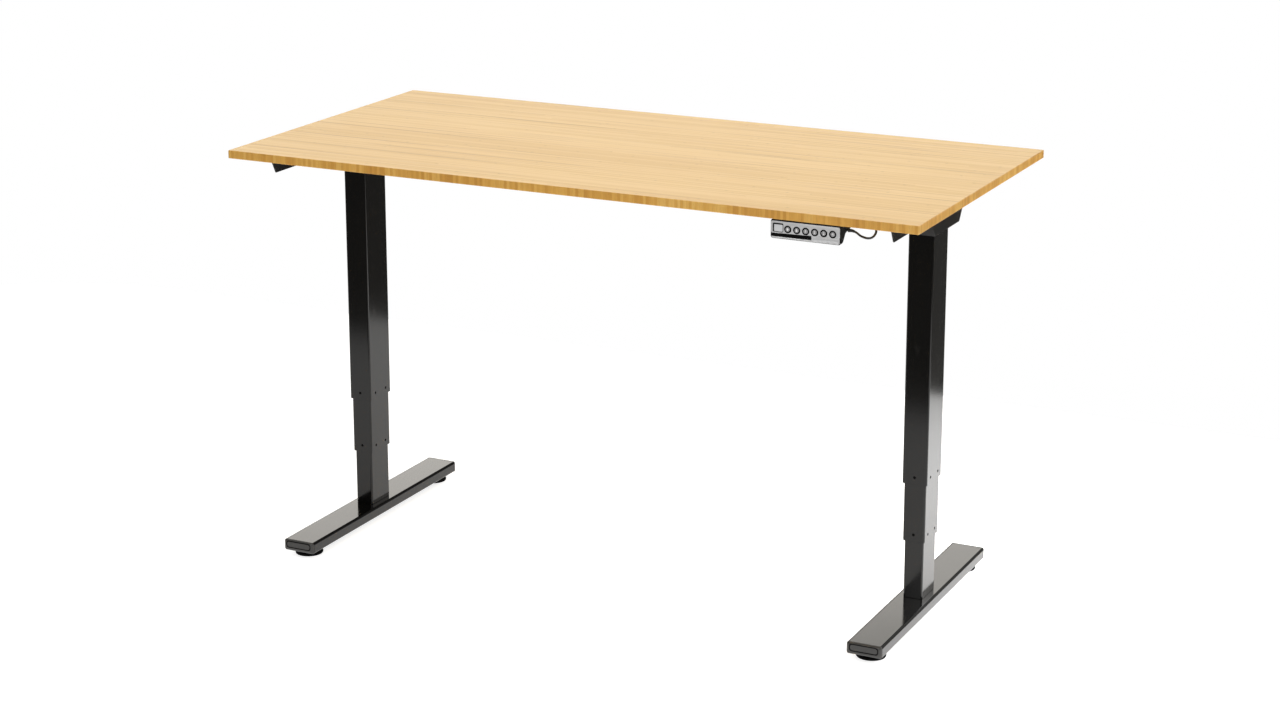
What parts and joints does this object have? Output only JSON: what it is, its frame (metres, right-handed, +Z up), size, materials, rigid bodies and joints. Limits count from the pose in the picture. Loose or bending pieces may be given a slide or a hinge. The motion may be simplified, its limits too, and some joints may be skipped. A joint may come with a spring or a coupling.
{
  "type": "height adjustable standing desk",
  "caption": "Height adjustable standing desk: rectangular bamboo top on two black telescopic electric legs with long feet, levelling pads and a push-button handset.",
  "frame": {"origin": "on the floor under the middle of the tabletop", "axes": "+Z up, +X along the tabletop to the seated user's right, -Y towards the user"},
  "size_m": [1.524, 0.75, 0.9],
  "materials": {
    "bamboo": "clear satin lacquer over bamboo strips",
    "black_steel": "semi-gloss black powder coat",
    "black_plastic": "fine textured black moulding",
    "guide_plastic": "natural low-friction plastic",
    "screw_steel": "turned steel, greased",
    "motor_steel": "plated steel can",
    "pad_rubber": "moulded black rubber",
    "silver_panel": "satin silver membrane",
    "display_window": "smoked window",
    "button_grey": "grey moulded buttons",
    "lead_black": "black cable jacket"
  },
  "bodies": {
    "base": {"left_foot": "black_steel", "left_inner_tube": "black_steel", "left_lower_nut": "guide_plastic", "right_foot": "black_steel", "right_inner_tube": "black_steel", "right_lower_nut": "guide_plastic", "left_front_foot_cap": "black_plastic", "left_rear_foot_cap": "black_plastic", "right_front_foot_cap": "black_plastic", "right_rear_foot_cap": "black_plastic"},
    "top": {"tabletop": "bamboo", "front_rail": "black_steel", "rear_rail": "black_steel", "control_box": "black_plastic", "control_box_plate": "black_steel", "power_inlet": "black_plastic", "handset_housing": "black_plastic", "handset_panel": "silver_panel", "handset_display": "display_window", "handset_lead": "lead_black", "left_outer_tube": "black_steel", "left_outer_guide": "guide_plastic", "left_frame_head": "black_steel", "left_bearing": "screw_steel", "left_gearbox": "motor_steel", "left_motor": "motor_steel", "left_side_bracket": "black_steel", "left_motor_lead": "lead_black", "right_outer_tube": "black_steel", "right_outer_guide": "guide_plastic", "right_frame_head": "black_steel", "right_bearing": "screw_steel", "right_gearbox": "motor_steel", "right_motor": "motor_steel", "right_side_bracket": "black_steel", "right_motor_lead": "lead_black"},
    "left_middle": {"left_middle_tube": "black_steel", "left_middle_guide": "guide_plastic", "left_upper_nut": "guide_plastic"},
    "left_drive": {"left_drive_screw": "screw_steel"},
    "left_hollow": {"left_hollow_screw": "screw_steel"},
    "right_middle": {"right_middle_tube": "black_steel", "right_middle_guide": "guide_plastic", "right_upper_nut": "guide_plastic"},
    "right_drive": {"right_drive_screw": "screw_steel"},
    "right_hollow": {"right_hollow_screw": "screw_steel"},
    "left_front_pad": {"left_front_glide_pad": "pad_rubber"},
    "left_front_stem": {"left_front_glide_stem": "screw_steel"},
    "left_rear_pad": {"left_rear_glide_pad": "pad_rubber"},
    "left_rear_stem": {"left_rear_glide_stem": "screw_steel"},
    "right_front_pad": {"right_front_glide_pad": "pad_rubber"},
    "right_front_stem": {"right_front_glide_stem": "screw_steel"},
    "right_rear_pad": {"right_rear_glide_pad": "pad_rubber"},
    "right_rear_stem": {"right_rear_glide_stem": "screw_steel"},
    "key_up": {"button_up": "button_grey"},
    "key_down": {"button_down": "button_grey"},
    "key_preset_1": {"button_preset_1": "button_grey"},
    "key_preset_2": {"button_preset_2": "button_grey"},
    "key_preset_3": {"button_preset_3": "button_grey"},
    "key_preset_4": {"button_preset_4": "button_grey"}
  },
  "joints": [
    {"name": "top_lift", "type": "slide", "parent": "base", "child": "top", "axis": [0, 0, 1], "range_m": [-0.244, 0.4]},
    {"name": "left_middle_slide", "type": "slide", "parent": "base", "child": "left_middle", "axis": [0, 0, 1], "range_m": [-0.1225, 0.2005]},
    {"name": "left_drive_screw_turn", "type": "hinge", "parent": "top", "child": "left_drive", "pos_m": [-0.653, -0.0175, 0.62], "axis": [0, 0, 1], "continuous": true},
    {"name": "left_hollow_screw_turn", "type": "hinge", "parent": "left_middle", "child": "left_hollow", "pos_m": [-0.653, -0.0175, 0.45], "axis": [0, 0, 1], "continuous": true},
    {"name": "right_middle_slide", "type": "slide", "parent": "base", "child": "right_middle", "axis": [0, 0, 1], "range_m": [-0.1225, 0.2005]},
    {"name": "right_drive_screw_turn", "type": "hinge", "parent": "top", "child": "right_drive", "pos_m": [0.653, -0.0175, 0.62], "axis": [0, 0, 1], "continuous": true},
    {"name": "right_hollow_screw_turn", "type": "hinge", "parent": "right_middle", "child": "right_hollow", "pos_m": [0.653, -0.0175, 0.45], "axis": [0, 0, 1], "continuous": true},
    {"name": "left_front_glide", "type": "slide", "parent": "base", "child": "left_front_pad", "axis": [0, 0, -1], "range_m": [0, 0.01]},
    {"name": "left_front_stem_turn", "type": "hinge", "parent": "left_front_pad", "child": "left_front_stem", "pos_m": [-0.653, -0.2835, 0.019], "axis": [0, 0, 1], "continuous": true},
    {"name": "left_rear_glide", "type": "slide", "parent": "base", "child": "left_rear_pad", "axis": [0, 0, -1], "range_m": [0, 0.01]},
    {"name": "left_rear_stem_turn", "type": "hinge", "parent": "left_rear_pad", "child": "left_rear_stem", "pos_m": [-0.653, 0.2485, 0.019], "axis": [0, 0, 1], "continuous": true},
    {"name": "right_front_glide", "type": "slide", "parent": "base", "child": "right_front_pad", "axis": [0, 0, -1], "range_m": [0, 0.01]},
    {"name": "right_front_stem_turn", "type": "hinge", "parent": "right_front_pad", "child": "right_front_stem", "pos_m": [0.653, -0.2835, 0.019], "axis": [0, 0, 1], "continuous": true},
    {"name": "right_rear_glide", "type": "slide", "parent": "base", "child": "right_rear_pad", "axis": [0, 0, -1], "range_m": [0, 0.01]},
    {"name": "right_rear_stem_turn", "type": "hinge", "parent": "right_rear_pad", "child": "right_rear_stem", "pos_m": [0.653, 0.2485, 0.019], "axis": [0, 0, 1], "continuous": true},
    {"name": "press_up", "type": "slide", "parent": "top", "child": "key_up", "axis": [0, 1, 0], "range_m": [0, 0.0008], "stiffness_N_per_m": 500, "springref_m": -0.001},
    {"name": "press_down", "type": "slide", "parent": "top", "child": "key_down", "axis": [0, 1, 0], "range_m": [0, 0.0008], "stiffness_N_per_m": 500, "springref_m": -0.001},
    {"name": "press_preset_1", "type": "slide", "parent": "top", "child": "key_preset_1", "axis": [0, 1, 0], "range_m": [0, 0.0008], "stiffness_N_per_m": 500, "springref_m": -0.001},
    {"name": "press_preset_2", "type": "slide", "parent": "top", "child": "key_preset_2", "axis": [0, 1, 0], "range_m": [0, 0.0008], "stiffness_N_per_m": 500, "springref_m": -0.001},
    {"name": "press_preset_3", "type": "slide", "parent": "top", "child": "key_preset_3", "axis": [0, 1, 0], "range_m": [0, 0.0008], "stiffness_N_per_m": 500, "springref_m": -0.001},
    {"name": "press_preset_4", "type": "slide", "parent": "top", "child": "key_preset_4", "axis": [0, 1, 0], "range_m": [0, 0.0008], "stiffness_N_per_m": 500, "springref_m": -0.001}
  ],
  "couplings": [
    {"joint": "left_middle_slide", "follows": "top_lift", "ratio": 0.5},
    {"joint": "left_drive_screw_turn", "follows": "top_lift", "rad_per_m": 157.08},
    {"joint": "left_hollow_screw_turn", "follows": "top_lift", "rad_per_m": 157.08},
    {"joint": "right_middle_slide", "follows": "top_lift", "ratio": 0.5},
    {"joint": "right_drive_screw_turn", "follows": "top_lift", "rad_per_m": 157.08},
    {"joint": "right_hollow_screw_turn", "follows": "top_lift", "rad_per_m": 157.08},
    {"joint": "left_front_stem_turn", "follows": "left_front_glide", "rad_per_m": 5026.5},
    {"joint": "left_rear_stem_turn", "follows": "left_rear_glide", "rad_per_m": 5026.5},
    {"joint": "right_front_stem_turn", "follows": "right_front_glide", "rad_per_m": 5026.5},
    {"joint": "right_rear_stem_turn", "follows": "right_rear_glide", "rad_per_m": 5026.5}
  ]
}
